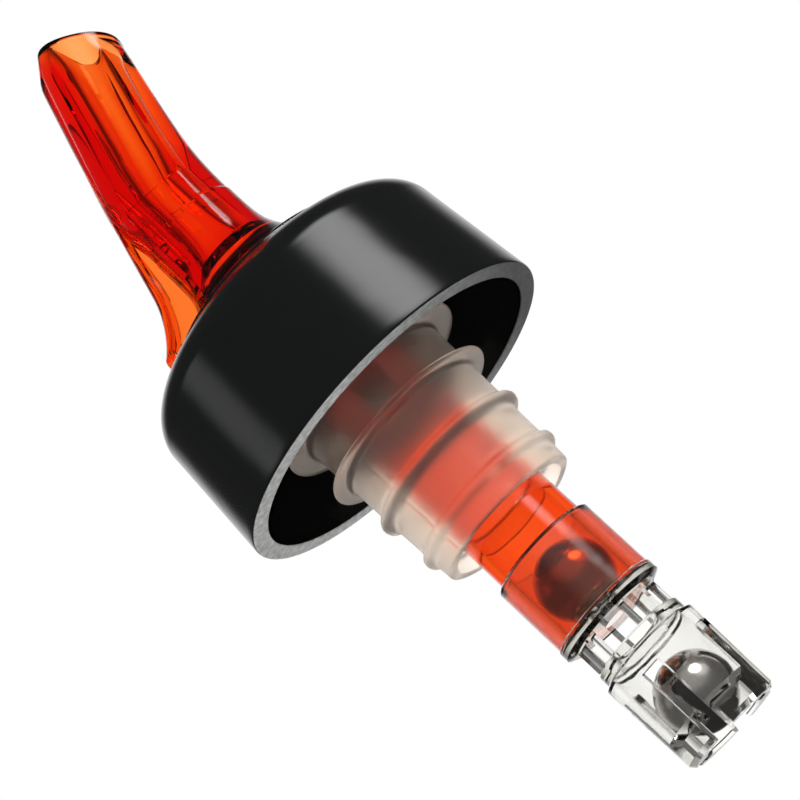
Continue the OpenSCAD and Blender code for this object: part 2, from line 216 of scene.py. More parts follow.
def polishedSteel():
    # ground and polished bearing steel: a mirror with a slight uneven haze
    made, tree = newMaterial("polished bearing steel")
    smear, = noiseHeights(tree, [2.5])
    haze = addNode(tree, "ShaderNodeMapRange", {"To Min": 0.1, "To Max": 0.24}, {"Value": smear})
    body = addNode(tree, "ShaderNodeBsdfPrincipled", {
        "Base Color": linearColour("#bdb9b6"), "Metallic": 1.0}, {"Roughness": haze.outputs[0]})
    addNode(tree, "ShaderNodeOutputMaterial", links={"Surface": body.outputs[0]})
    return made


redPlastic, clearPlastic, steel = redStyrene(), clearStyrene(), polishedSteel()
vinyl, polyethylene = softVinyl(), frostedCork()
finishes = {
    "spout_body": redPlastic, "vent_tube": redPlastic, "end_cap": clearPlastic,
    "collar": vinyl, "cork": polyethylene,
    "timing_ball": steel, "check_ball": steel, "vent_ball": steel}
for name, finish in finishes.items():
    for slot in bpy.data.objects[name].material_slots:
        slot.material = finish
print("materials made")


def sheetMesh(name, rows, closed=False):
    # rows of points in millimetres, each a closed loop: neighbours are joined by quads, the last
    # row to the first where closed is set, and the ends are shut by a face where it isn't
    count, around = rows.shape[:2]
    lastRow = count if closed else count - 1
    row, step = np.meshgrid(np.arange(lastRow), np.arange(around), indexing="ij")
    nextRow, nextStep = (row + 1) % count, (step + 1) % around
    quads = np.stack([row * around + step, row * around + nextStep,
                      nextRow * around + nextStep, nextRow * around + step], -1).reshape(-1, 4)
    faces = [tuple(q) for q in quads.tolist()]
    if not closed:
        faces.append(tuple(range(around))[::-1])
        faces.append(tuple(range((count - 1) * around, count * around)))
    made = bpy.data.meshes.new(name)
    made.from_pydata((rows.reshape(-1, 3) / 1000).tolist(), [], faces)
    work = bmesh.new()
    work.from_mesh(made)
    bmesh.ops.recalc_face_normals(work, faces=work.faces)
    work.to_mesh(made)
    work.free()
    return made


def carved(name, base, joined, cut):
    # an object whose mesh is the base with some meshes joined to it and others cut from it
    holder = bpy.data.objects.new(name, base)
    bpy.context.scene.collection.objects.link(holder)
    helpers = []
    for operation, meshes in (("UNION", joined), ("DIFFERENCE", cut)):
        for made in meshes:
            helper = bpy.data.objects.new("helper", made)
            bpy.context.scene.collection.objects.link(helper)
            change = holder.modifiers.new(operation, "BOOLEAN")
            change.operation, change.object, change.solver = operation, helper, "EXACT"
            helpers.append(helper)
    bpy.context.view_layer.update()
    evaluated = holder.evaluated_get(bpy.context.evaluated_depsgraph_get())
    done = bpy.data.meshes.new_from_object(evaluated)
    for helper in helpers:
        bpy.data.objects.remove(helper)
    holder.modifiers.clear()
    holder.data = done
    done.name = name
    return holder


def tubeRows(points, radii, sides=48):
    # rings of the given radii round a path's points, each square to the path's direction there
    points = np.array(points, float)
    ways = np.gradient(points, axis=0)
    ways /= np.linalg.norm(ways, axis=1, keepdims=True)
    across = np.cross(ways, [0, 1, 0])
    across /= np.linalg.norm(across, axis=1, keepdims=True)
    third = np.cross(ways, across)
    turn = np.linspace(0, 2 * math.pi, sides, endpoint=False)[None, :, None]
    ring = np.cos(turn) * across[:, None] + np.sin(turn) * third[:, None]
    return points[:, None] + np.array(radii, float)[:, None, None] * ring


def boxMesh(low, high):
    # a box between two corners, as a loop of four points at its foot and one at its top
    loop = ((low[0], low[1]), (high[0], low[1]), (high[0], high[1]), (low[0], high[1]))
    return sheetMesh("box", np.array([[(x, y, z) for x, y in loop] for z in (low[2], high[2])]))


def finishPiece(made, material, angle, node):
    # smooth shading with edges past the angle in degrees left sharp, one material, and the node's
    # place in the frame
    made.data.polygons.foreach_set("use_smooth", np.ones(len(made.data.polygons), dtype=bool))
    made.data.set_sharp_from_angle(angle=math.radians(angle))
    made.data.materials.clear()
    made.data.materials.append(material)
    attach(made, "body")
    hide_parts(node)


spout = {  # millimetres; heights start in the middle of the cork's upper bead, and x points forward
    "loopPoints": 280,
    "tubeEnd": -24.3, "tubeRadius": 6.15, "boreRadius": 4.95,
    "windows": [((-2, -7, 7.5), (2, -4, 16.5)), ((-2, 4, 7.5), (2, 7, 16.5))],
    "plugFoot": 21.4, "plugRadius": 8.6, "barbRadius": 8.85, "barbTop": 22.4,
    "flangeFoot": 28.4, "flangeTop": 29.9, "flangeRadius": 14.7,
    "flangeRounds": (0.4, 0.6), "flangeChamfer": 0.15,
    # the hollow curve from the flange to the stem: its top, its radius, how far inside the stem's
    # front it ends, and how softly it meets the stem
    "skirtTop": 43.0, "skirtCurve": 16.9, "skirtInset": 0.75, "skirtBlend": 0.8,
    # reach of the stem's front and back, and what the spout adds above the elbow: slope, softness
    "stemFront": 5.75, "stemBack": 6.6, "elbow": 49.5,
    "frontLean": (0.25, 5.0), "backLean": (0.32, 1.6),
    "backSwell": (0.75, 44.5, 5.0),    # how far it stands out, from which height and over which
    "backBevel": (-1.2, 69.3, 38.0),   # a point of the bevel behind the mouth, and its slope
    # the flats: full width, and the x of their edges below and above the mitre, with their slopes
    "flatWidth": 10.9, "tip": 73.5, "tipWidth": 9.7,
    "mitre": (47.5, -0.073), "mitreWidth": 0.6, "stemFlat": (-5.15, 2.8), "stemTaper": (0.07, 9.0),
    "flatBack": (-4.95, 0.292), "flatFront": (3.2, 0.248), "flatRoom": (1.1, 2.0),
    # shares of the way round that half an end and a flat take, and the form of the ends: each
    # crease by its depth and share of the half width, at the mitre and at the tip
    "endShare": 0.15, "flatShare": 0.2, "endWidening": 1.1, "endBow": 0.09,
    "frontCrease": ((2.1, 0.75), (0.5, 0.3)), "frontLimit": 0.7,
    "backCrease": ((0.9, 0.6), (1.0, 0.5)), "backLimit": 0.4,
    # the mouth: its slope, its lowest point, what the front's softness adds to its height there,
    # and the oval that the last stretch is eased to
    "mouthSlope": 34.0, "mouthFront": 67.6, "frontStart": 0.3,
    "mouthWidth": 10.2, "mouthPower": 2.4, "mouthBlend": 5.0,
    # the lip: its rounding, how square that is, and the opening's depth in roundings
    "lipRound": 0.7, "lipPower": 0.7, "lipDrop": 1.2,
    # inside, each with its x or height and its radius: opening, throat, narrowing, stem, ball seat
    "opening": (6.25, 3.7), "throat": (66.0, 3.65), "funnelSwell": 0.25, "narrowing": (53.0, 3.5),
    "boreLean": 15.8, "boreElbow": 48.5, "stemBore": 3.0, "stemHeights": (46.0, 42.0),
    "seat": 36.5, "seatFoot": 34.55,
    "grooveRadius": 0.09, "grooveInset": 0.2, "sharpAngle": 14,
}


def ramp(x, soft):
    # nought far below zero and x far above it, joined by a hyperbola: half the sum of x and the
    # root of x squared plus soft squared
    return (x + np.sqrt(x * x + soft * soft)) / 2


def creasedArc(t, end, corner, edge):
    # from the middle of an end round to a flat's edge, by t from 0 to 1: up to one half a quadratic
    # curve that leaves the end square to the axis and reaches the corner, and after it a straight
    # line to the edge, pushed out by a parabola
    u, v = np.clip(2 * t, 0, 1), np.clip(2 * t - 1, 0, 1)
    x = end + (corner[0] - end) * u * u
    y = corner[1] * (spout["endWidening"] * u * (1 - u) + u * u)
    bow = 4 * spout["endBow"] * v * (1 - v)
    dx, dy = edge[0] - corner[0], edge[1] - corner[1]
    far = x + dx * v + bow * np.abs(dy) * np.sign(end - edge[0])
    return np.where(t < 0.5, x, far), np.where(t < 0.5, y, y + dy * v + bow * np.abs(dx))


def spoutSection(share, z):
    # the moulding's outline at the heights z, by the share of the way round it from 0 to 1: two
    # straight flats face the sides, and a creased arc joins them behind and in front; below the
    # skirt's top each radius is the softened maximum of that outline's and the skirt's
    s = spout
    above = z - s["mitre"][0]
    up = np.clip(above / (s["tip"] - s["mitre"][0]), 0, 1)
    lean, soft = s["frontLean"]
    front = s["stemFront"] + lean * ramp(z - s["elbow"], soft)
    lean, soft = s["backLean"]
    swell, swellFoot, swellHeight = s["backSwell"]
    back = -s["stemBack"] - swell * np.clip((z - swellFoot) / swellHeight, 0, 1)
    back = back + lean * ramp(z - s["elbow"], soft)
    bevelX, bevelZ, bevelSlope = s["backBevel"]
    back = np.maximum(back, bevelX + (z - bevelZ) * math.tan(math.radians(bevelSlope)))

    half = s["flatWidth"] / 2 - (s["flatWidth"] - s["tipWidth"]) / 2 * up
    turned = np.clip(above / s["mitreWidth"] + 0.5, 0, 1)
    taper, taperHeight = s["stemTaper"]
    flatFront = s["stemFlat"][1] + taper * np.clip(above, -taperHeight, 0) + turned * (
        s["flatFront"][0] - s["stemFlat"][1] + s["flatFront"][1] * np.maximum(above, 0))
    flatBack = s["stemFlat"][0] + turned * (
        s["flatBack"][0] - s["stemFlat"][0] + s["flatBack"][1] * np.maximum(above, 0))
    flatBack = np.clip(flatBack, back + s["flatRoom"][0], flatFront - s["flatRoom"][1])

    def crease(ends):
        # its depth and its distance from the middle, each drawn straight from the mitre to the tip
        (depth, width), (tipDepth, tipWidth) = ends
        return depth + (tipDepth - depth) * up, (width + (tipWidth - width) * up) * half

    mirrored, end, flat = np.minimum(share, 1 - share), s["endShare"], s["flatShare"]
    depth, width = crease(s["backCrease"])
    corner = (back + np.minimum(depth, (flatBack - back) * s["backLimit"]), width)
    xBack, yBack = creasedArc(np.clip(mirrored / end, 0, 1), back, corner, (flatBack, half))
    depth, width = crease(s["frontCrease"])
    corner = (front - np.minimum(depth, (front - flatFront) * s["frontLimit"]), width)
    xFront, yFront = creasedArc(np.clip((0.5 - mirrored) / end, 0, 1), front, corner,
                                (flatFront, half))
    xFlat = flatBack + (flatFront - flatBack) * np.clip((mirrored - end) / flat, 0, 1)
    x = np.where(mirrored < end, xBack, np.where(mirrored > end + flat, xFront, xFlat))
    y = np.where(mirrored < end, yBack, np.where(mirrored > end + flat, yFront, half))

    drop = np.clip(s["skirtTop"] - z, 0, s["skirtCurve"] - 0.01)
    skirt = s["skirtCurve"] - np.sqrt(s["skirtCurve"] ** 2 - drop ** 2)
    skirt = s["stemFront"] - s["skirtInset"] + skirt
    radius = np.hypot(x, y)
    # what the ramp still adds where the skirt lies 40 mm inside the stem is taken off again
    leftover = ramp(-40.0, s["skirtBlend"])
    drawn = radius + ramp(skirt - radius, s["skirtBlend"]) - leftover
    scale = np.where(z < s["skirtTop"], drawn / radius, 1.0)
    return x * scale, np.where(share > 0.5, -1.0, 1.0) * y * scale


def mouthHeight(x):
    # the mouth's plane, which falls forwards at its slope and passes through its lowest point,
    # where the front ends
    s = spout
    lowestX = s["stemFront"] + s["frontLean"][0] * (s["mouthFront"] - s["elbow"] + s["frontStart"])
    return s["mouthFront"] - (x - lowestX) * math.tan(math.radians(s["mouthSlope"]))


def outsideRows(share):
    # loops from the flange's top up to the lip, closest together round the mitre; the lip's height
    # is where the outline meets the mouth's plane, found by going halfway there 40 times
    lip = np.full_like(share, spout["mouthFront"])
    for step in range(40):
        x, y = spoutSection(share, lip)
        lip = 0.5 * lip + 0.5 * mouthHeight(x)
    low, high = spout["flangeTop"], lip - spout["lipRound"]
    parts = [np.linspace(0, 0.4, 41), np.linspace(0.4, 0.5, 21)[1:], np.linspace(0.5, 1, 34)[1:]]
    rows = []
    for part in np.concatenate(parts):
        z = low + (high - low) * part
        x, y = spoutSection(share, z)
        rows.append(np.stack([x, y, z], 1))
    return rows


def turnedProfile():
    # the round parts by radius and height, down the ball seat and the metering bore inside and up
    # the tube, the plug and the flange outside, with small chamfers at their corners
    s = spout
    fine, small, large, last = 0.1, 0.2, 0.3, s["flangeChamfer"]
    bore, stem, tube, plug = s["boreRadius"], s["stemBore"], s["tubeRadius"], s["plugRadius"]
    inside = [(stem, z) for z in s["stemHeights"]]
    inside += [(stem, s["seat"] + large), (stem + fine, s["seat"]),
               (bore - fine, s["seatFoot"] + fine), (bore, s["seatFoot"] - small)]
    inside += [(bore, z) for z in np.linspace(s["seatFoot"] - 2, s["tubeEnd"] + small, 16)]
    outside = [(bore + small, s["tubeEnd"]), (tube - small, s["tubeEnd"]),
               (tube, s["tubeEnd"] + small)]
    outside += [(tube, z) for z in np.linspace(s["tubeEnd"] + 2, s["plugFoot"] - large, 16)]
    outside += [(tube + large, s["plugFoot"]), (plug - large, s["plugFoot"]),
                (s["barbRadius"], s["barbTop"] - small), (plug, s["barbTop"]),
                (plug, s["flangeFoot"] - last), (plug + last, s["flangeFoot"])]
    lower, upper = s["flangeRounds"]
    outside += [(s["flangeRadius"] - lower, s["flangeFoot"])]
    outside += [(s["flangeRadius"] - lower + lower * math.cos(a),
                 s["flangeFoot"] + lower + lower * math.sin(a)) for a in np.linspace(-1.3, 0, 4)]
    outside += [(s["flangeRadius"] - upper + upper * math.cos(a),
                 s["flangeTop"] - upper + upper * math.sin(a)) for a in np.linspace(0, 1.5, 6)]
    return inside + outside


def spoutGrid():
    # the whole moulding as one closed sheet of loops round the axis: up the skirt, stem and spout,
    # over the lip, down the bore to the ball seat and the tube's end, and back up outside the
    # tube, round the plug and the flange
    s = spout
    share = np.arange(s["loopPoints"]) / s["loopPoints"]
    rows = outsideRows(share)
    around = np.unwrap(np.arctan2(rows[-1][:, 1], -(rows[-1][:, 0] - rows[-1][:, 0].mean())))
    ux, uy = -np.cos(around), np.sin(around)

    def circle(across):
        # a circle of radius 1, in the plane of y and the given way
        return ux[:, None] * across + uy[:, None] * np.array([0, 1, 0])

    # the last stretch is eased over to an oval in the mouth's plane: a power curve through the
    # ends of the last section, with a smooth step of the height below the mouth
    slope = math.radians(s["mouthSlope"])
    normal = np.array([math.sin(slope), 0, math.cos(slope)])
    downhill = np.array([normal[2], 0, -normal[0]])
    ends = rows[-1][[0, len(share) // 2]]
    halfLength, halfWidth = (ends[1] - ends[0]) @ downhill / 2, s["mouthWidth"] / 2
    power = s["mouthPower"]
    size = (np.abs(ux / halfLength) ** power + np.abs(uy / halfWidth) ** power) ** (-1 / power)
    oval = ends.mean(0) + size[:, None] * circle(downhill)
    shift, top = oval - rows[-1], rows[-1][:, 2]
    for row in rows:
        near = np.clip(1 - (top - row[:, 2]) / s["mouthBlend"], 0, 1)
        row += (near * near * (3 - 2 * near))[:, None] * shift
    outer = rows[-1]

    lean = math.radians(s["boreLean"])
    axis = np.array([math.sin(lean), 0, math.cos(lean)])
    across = np.array([math.cos(lean), 0, -math.sin(lean)])
    start = np.array([0, 0, s["boreElbow"]])
    openX, openRadius = s["opening"]
    rim = np.array([openX, 0, mouthHeight(openX)]) - normal * s["lipRound"] * s["lipDrop"]
    rim = rim + openRadius * circle(downhill)

    def boreRing(height, radius):
        # the circle square to the leaning bore at a height of its axis
        return start + axis * (height - start[2]) / axis[2] + radius * circle(across)

    throat, narrowing = boreRing(*s["throat"]), boreRing(*s["narrowing"])
    # lip: half of a power oval from the outer edge to the opening's rim
    middle, reach = (outer + rim) / 2, (outer - rim) / 2
    for a in np.linspace(0, math.pi, 15)[1:-1]:
        out = math.copysign(abs(math.cos(a)) ** s["lipPower"], math.cos(a))
        rise = math.sin(a) ** s["lipPower"]
        rows.append(middle + reach * out + normal * s["lipRound"] * rise)
    # bore: straight lines from the opening through throat and narrowing to the elbow, where the
    # leaning and the upright bore meet in a mitre; the first stretch swells a little
    bisect = np.array([math.sin(lean / 2), 0, math.cos(lean / 2)])
    flat = s["stemBore"] * circle(np.array([1, 0, 0]))
    elbow = start + flat - np.array([0, 0, 1]) * ((flat @ bisect) / bisect[2])[:, None]
    for part in np.linspace(0, 1, 9)[:-1]:
        swell = part - part * part * (3 - 2 * part)
        rows.append(rim + (throat - rim) * part + circle(across) * s["funnelSwell"] * swell)
    for part in np.linspace(0, 1, 16)[:-1]:
        rows.append(throat + (narrowing - throat) * part)
    for part in np.linspace(0, 1, 8):
        rows.append(narrowing + (elbow - narrowing) * part)

    for radius, z in turnedProfile():
        rows.append(np.stack([radius * ux, radius * uy, np.full_like(ux, z)], 1))
    return np.array(rows)


web = {  # millimetres
    "thickness": 2.5, "sink": 0.8, "top": 54.0,
    # its back edge: radius and top of the arc, where the arc ends, the line's slope, and the arc's
    # furthest reach; above the bend's height the line leans in a little more
    "curve": 15.32, "curveTop": 40.1, "edgeAtTop": -9.744, "edgeLean": 15.72, "footReach": 14.3,
    "topBend": (50.0, 0.045),
    # the rim's thickness and its width by height, and the neck: distances from the edge in rim
    # widths, and the share that is left of the rim's extra thickness
    "rimThickness": 4.8, "rimWidth": ((32, 1.5), (46, 0.6)),
    "neckSteps": (1.9, 1.25), "neckThickness": 0.15,
    "root": ((36.5, -5.5), (38, -3.5)),   # x by height: low down in the bore's wall, then the stem
}


def webRows():
    # the plate behind the stem: its section, which is a half oval rim, a neck and a flat plate
    # that runs on into the stem, follows the back edge, an arc of a circle and then a straight line
    w = web
    z = np.linspace(spout["flangeTop"] - w["sink"], w["top"], 60)
    lean = math.radians(w["edgeLean"])
    middleX = w["edgeAtTop"] - w["curve"] * math.cos(lean)
    middleZ = w["curveTop"] + w["curve"] * math.sin(lean)
    onArc = middleX + np.sqrt(np.maximum(w["curve"] ** 2 - (z - middleZ) ** 2, 0.01))
    onLine = w["edgeAtTop"] + math.tan(lean) * (z - w["curveTop"])
    onLine = onLine + w["topBend"][1] * np.maximum(z - w["topBend"][0], 0)
    edge = np.maximum(np.where(z < w["curveTop"], onArc, onLine), -w["footReach"])[:, None]
    rim, thin, bow = w["rimThickness"] / 2, w["thickness"] / 2, np.radians(np.linspace(-90, 90, 15))
    width, root = (np.interp(z, *zip(*w[k]))[:, None] for k in ("rimWidth", "root"))
    steps = [1.0, *w["neckSteps"]]
    inward = width * np.concatenate([steps, 1 - np.cos(bow), steps[::-1]])
    neck = thin + w["neckThickness"] * (rim - thin)
    thick = np.concatenate([[-thin, -thin, -neck], rim * np.sin(bow), [neck, thin, thin]])
    # the first and the last point lie on the root, the others keep their distance from the edge
    atRoot = np.zeros(len(thick), dtype=bool)
    atRoot[[0, -1]] = True
    x = np.where(atRoot, root, edge + inward)
    return np.stack(np.broadcast_arrays(x, thick, z[:, None]), -1)


vent = {  # millimetres
    "chamberX": -4.7, "chamberRadius": 1.35, "chamberFoot": 38.45, "chamberTop": 82.0,
    # the passage from the plug's foot up into the chamber: its bend by shift in x and height, and
    # how far it runs into the chamber
    "passageX": -7.2, "passageRadius": 0.7, "passageFoot": 20.4,
    "bend": ((0.0, 32.8), (0.2, 33.8)), "overlap": 0.5,
}


def makeSpout():
    # the web is joined to the moulding; the vent's chamber and passage, the inlet windows, and the
    # mitre's fine groove across each flat are cut from it
    v, s = vent, spout
    foot, top = ((v["chamberX"], 0, v[k]) for k in ("chamberFoot", "chamberTop"))
    chamber = sheetMesh("chamber", tubeRows([foot, top], [v["chamberRadius"]] * 2))
    path = [(v["passageX"], 0, v["passageFoot"])]
    path += [(v["passageX"] + shift, 0, z) for shift, z in v["bend"]]
    path += [(v["chamberX"], 0, v["chamberFoot"] + v["overlap"])]
    passage = sheetMesh("passage", tubeRows(path, [v["passageRadius"]] * len(path), 32))
    windows = [boxMesh(*corners) for corners in s["windows"]]
    middle, slope = s["mitre"]
    ends = [s["stemFlat"][0] + s["grooveInset"], s["stemFlat"][1]]
    grooves = [sheetMesh("groove", tubeRows(
        [(x, side * s["flatWidth"] / 2, middle + slope * x) for x in ends],
        [s["grooveRadius"]] * 2, 12)) for side in (-1, 1)]
    body = carved("spoutMoulding", sheetMesh("spout", spoutGrid(), closed=True),
                  [sheetMesh("web", webRows())], [chamber, passage] + windows + grooves)
    finishPiece(body, redPlastic, s["sharpAngle"], "spout_body")


makeSpout()
print("spout made")


def straightPoints(start, end, shares):
    # points on a straight line between two of radius and height, at the given shares of the way
    return [(start[0] + (end[0] - start[0]) * part, start[1] + (end[1] - start[1]) * part)
            for part in shares]


def ellipseArc(middle, reach, fromAngle, toAngle, steps):
    # points on an ellipse's arc, as radius and height, from the cosine and sine of even angles
    turn = np.radians(np.linspace(fromAngle, toAngle, steps))
    return [(middle[0] + reach[0] * math.cos(a), middle[1] + reach[1] * math.sin(a)) for a in turn]


def turnedObject(name, profile, wave, steps=300):
    # a closed profile of radius and height turned about the axis; wave gives, by radius, height
    # and angle, the small changes in radius and height that keep it from looking machined
    profile = np.array(profile, float)
    around = np.arange(steps) * 2 * math.pi / steps
    dr, dz = wave(profile[:, :1], profile[:, 1:], around[None])
    radius = profile[:, :1] + dr
    height = profile[:, 1:] + dz + 0 * radius
    rows = np.stack([radius * np.cos(around), radius * np.sin(around), height], -1)
    made = bpy.data.objects.new(name, sheetMesh(name, rows, closed=True))
    bpy.context.scene.collection.objects.link(made)
    return made


collar = {  # millimetres
    "rimHeight": 8.5, "rimRadius": 22.5, "rimRound": 0.35, "wall": 2.3,
    "sideTop": 23.4, "shoulderRadius": 21.4, "shoulder": (6.5, 5.0), "top": 28.4, "topMiddle": 12.0,
    "hole": 8.6, "recess": (10.55, 26.4), "ceiling": 25.9, "innerRound": (5.35, 3.0),
    # the wall waves past this radius and below this height, more and more over the growth
    "waviness": 0.05, "waveFrom": (12.0, 27.5), "waveGrowth": 8.0,
    "sharpAngle": 40,
}


def makeCollar():
    # the cup: up the outside, over the shoulder, down the hole, and back along the ceiling and
    # down the inner wall
    c = collar
    rim, lip, inner = c["rimHeight"], c["rimRound"], c["rimRadius"] - c["wall"]
    side, top = c["shoulderRadius"], c["top"]
    profile = [(inner, rim + 0.1), (inner + 0.1, rim)]
    profile += straightPoints((c["rimRadius"], rim), (inner, rim), (0.75, 0.5, 0.3))
    profile += ellipseArc((c["rimRadius"] - lip, rim + lip), (lip, lip), -90, 0, 6)
    profile += straightPoints((c["rimRadius"], rim + lip), (side, c["sideTop"]),
                              np.linspace(0.05, 0.97, 14))
    profile += ellipseArc((side - c["shoulder"][0], c["sideTop"]), c["shoulder"], 0, 90, 26)
    profile += [(c["topMiddle"], top), (c["hole"] + 0.2, top), (c["hole"], top - 0.2),
                (c["hole"], c["recess"][1]), c["recess"], (c["recess"][0], c["ceiling"])]
    across, down = c["innerRound"]
    ceilingEnd = (side - c["wall"], c["ceiling"] - down)
    profile += ellipseArc((ceilingEnd[0] - across, ceilingEnd[1]), c["innerRound"], 90, 0, 16)
    profile += straightPoints(ceilingEnd, (inner, rim + 0.3), np.linspace(0.1, 1, 8))

    def wave(r, z, a):
        # two sines of the angle, growing outwards and downwards, that only ever pull the wall in
        loose = np.clip((r - c["waveFrom"][0]) / c["waveGrowth"], 0, 1)
        loose = loose * np.clip((c["waveFrom"][1] - z) / c["waveGrowth"], 0, 1)
        return loose * c["waviness"] * (np.sin(2 * a + 0.7) + 0.6 * np.sin(3 * a + z / 7) - 1.6), 0

    finishPiece(turnedObject("collarMoulding", profile, wave), vinyl, c["sharpAngle"], "collar")


makeCollar()
print("collar made")

cork = {  # millimetres
    "end": -9.5, "endRadius": 9.36, "endRagged": 0.05,
    "top": 26.4, "ceiling": 25.9, "topRadius": 10.5, "wall": 1.2, "plug": 8.6, "ringFoot": 22.4,
    "beads": [(-6.3, 10.26), (0.0, 10.75)], "beadHalf": 0.62,      # height and radius of each
    "fins": [(6.5, 11.9), (12.8, 13.05)],                          # height and reach of each
    "finEdge": 0.36, "finRoot": 0.95, "finGap": 0.25, "finFoot": 0.03, "finTip": 0.5,
    "finWaves": 0.14, "finPull": 0.3, "finFree": (0.3, 2.2),       # from the wall, and over
    "seamHeight": 0.07, "seamTurn": -134.7, "seamWidth": 0.022,    # degrees, radians
    "sharpAngle": 50,
}


def makeCork():
    # a thin tapered wall with two rounded beads and two thin fins, its profile closed round the
    # inside, where a ring near the top grips the plug
    c = cork

    def wallRadius(z):
        # the taper: straight from the end's radius to the top's
        rise = (z - c["end"]) / (c["ceiling"] - c["end"])
        return c["endRadius"] + (c["topRadius"] - c["endRadius"]) * rise

    def beadedWall(low, high, steps):
        # the taper and, for each bead, its height over the wall divided by 1 + the fourth power of
        # the distance in half widths
        return [(wallRadius(z) + sum((r - wallRadius(at)) / (1 + ((z - at) / c["beadHalf"]) ** 4)
                                     for at, r in c["beads"]), z)
                for z in np.linspace(low, high, steps)]

    profile = [(c["endRadius"] - c["wall"] + 0.05, c["end"] + 0.05),
               (c["endRadius"] - 0.25, c["end"]), (c["endRadius"] - 0.05, c["end"] + 0.15)]
    low = c["end"] + 0.35
    for at, reach in c["fins"]:
        # a fin: its hollow lower face, its rounded edge, and the same face mirrored above
        profile += beadedWall(low, at - c["finRoot"] - c["finGap"], 60 if low < 0 else 16)
        wall = wallRadius(at)
        face = [(wall + c["finFoot"] + (reach - c["finTip"] - wall) * part ** 2,
                 at - c["finRoot"] + (c["finRoot"] - c["finEdge"]) * part ** 0.6)
                for part in np.linspace(0.02, 1, 9)]
        edge = ellipseArc((reach - c["finEdge"], at), (c["finEdge"], c["finEdge"]), -80, 80, 9)
        profile += face + edge + [(r, 2 * at - z) for r, z in face[::-1]]
        low = at + c["finRoot"] + c["finGap"]
    profile += beadedWall(low, c["ceiling"], 16)
    profile += [(c["topRadius"], c["top"]), (c["plug"], c["top"]), (c["plug"], c["ringFoot"]),
                (wallRadius(c["ringFoot"]) - c["wall"], c["ringFoot"])]
    profile += [(wallRadius(z) - c["wall"], z)
                for z in np.linspace(c["ringFoot"] - 1, c["end"] + 0.6, 24)]
    seam = math.radians(c["seamTurn"])

    def wave(r, z, a):
        # the fins dip and lift by sines of the angle that grow outwards; the mould's seam is a
        # narrow bell curve at two opposite angles, and the cut end is a little ragged
        fin = np.clip((r - wallRadius(z) - c["finFree"][0]) / c["finFree"][1], 0, 1)
        outside = (r > wallRadius(z) - 0.2) * (z < c["ceiling"] - 0.1)
        ridge = np.exp(-(np.sin(a - seam) / c["seamWidth"]) ** 2) * outside
        ragged = (1 + np.sin(5 * a) * np.sin(3 * a + 1)) * (z < c["end"] + 0.2)
        pull = c["finPull"] * c["finWaves"] * fin * (1 + np.sin(3 * a + z))
        lift = fin * c["finWaves"] * (np.sin(2 * a + z) + 0.5 * np.sin(5 * a + 2))
        return ridge * c["seamHeight"] - pull, lift + c["endRagged"] * ragged

    finishPiece(turnedObject("corkMoulding", profile, wave), polyethylene, c["sharpAngle"], "cork")


makeCork()
print("cork made")

studio = {
    "floorHeight": -0.2, "floorSize": 6.0,   # metres
    "fill": 1.12,                            # all round light on cloudy and matt surfaces
    # a white tent behind the object, seen in a gloss and through clear plastic: the cosines of the
    # angle to its middle between which it fades in, and its light outside and inside them
    "behind": (0.08, 0.955, 0.285),
    "tents": {"gloss": ((0.72, 0.97), (0.04, 1.0)), "clear": ((0.2, 0.8), (0.2, 1.28))},
    "front": ((-0.25, 0.2), (0.7, 0.0)),     # the camera's side, for rays that only went through
    "boxes": [                               # soft boxes, described in the same way
        {"aim": (0.69, -0.55, 0.46), "fade": (0.93, 0.998), "gloss": 5.6, "clear": 1.1},
        {"aim": (-0.87, -0.20, 0.44), "fade": (0.965, 0.998), "gloss": 0.8, "clear": 0.3},
        {"aim": (0.25, -0.75, 0.6), "fade": (0.55, 0.98), "gloss": 0.0, "clear": 0.45}],
    "lamp": {"place": (0.5, -0.5, 0.55), "width": 0.4, "watts": 3.0},
}


def glow(tree, way, aim, fade, light):
    # a smooth step of the cosine between a ray's way and the aim, from the first light to the
    # second between the two cosines
    cosine = addNode(tree, "ShaderNodeVectorMath", {
        "operation": "DOT_PRODUCT", 1: Vector(aim).normalized()}, {0: way}).outputs["Value"]
    return addNode(tree, "ShaderNodeMapRange", {
        "interpolation_type": "SMOOTHSTEP", "From Min": fade[0], "From Max": fade[1],
        "To Min": light[0], "To Max": light[1]}, {"Value": cosine}).outputs[0]


def roomLight(tree, way, seen):
    # the sum of the tent and the soft boxes, with the lights that they have where they are seen
    light = glow(tree, way, studio["behind"], *studio["tents"][seen])
    for box in studio["boxes"]:
        part = glow(tree, way, box["aim"], box["fade"], (0.0, box[seen]))
        light = addNode(tree, "ShaderNodeMath", {"operation": "ADD"},
                        {0: light, 1: part}).outputs[0]
    return light


def clearLight(tree, way):
    # the clear tent and boxes, plus the front light for rays that went through and weren't
    # reflected: the streaks stay dark, and the pourer looks clear from all sides
    front = glow(tree, way, studio["behind"], *studio["front"])
    turned = addNode(tree, "ShaderNodeLightPath").outputs["Glossy Depth"]
    through = addNode(tree, "ShaderNodeMath", {"operation": "LESS_THAN", 1: 0.5}, {0: turned})
    return addNode(tree, "ShaderNodeMath", {"operation": "MULTIPLY_ADD"}, {
        0: front, 1: through.outputs[0], 2: roomLight(tree, way, "clear")}).outputs[0]


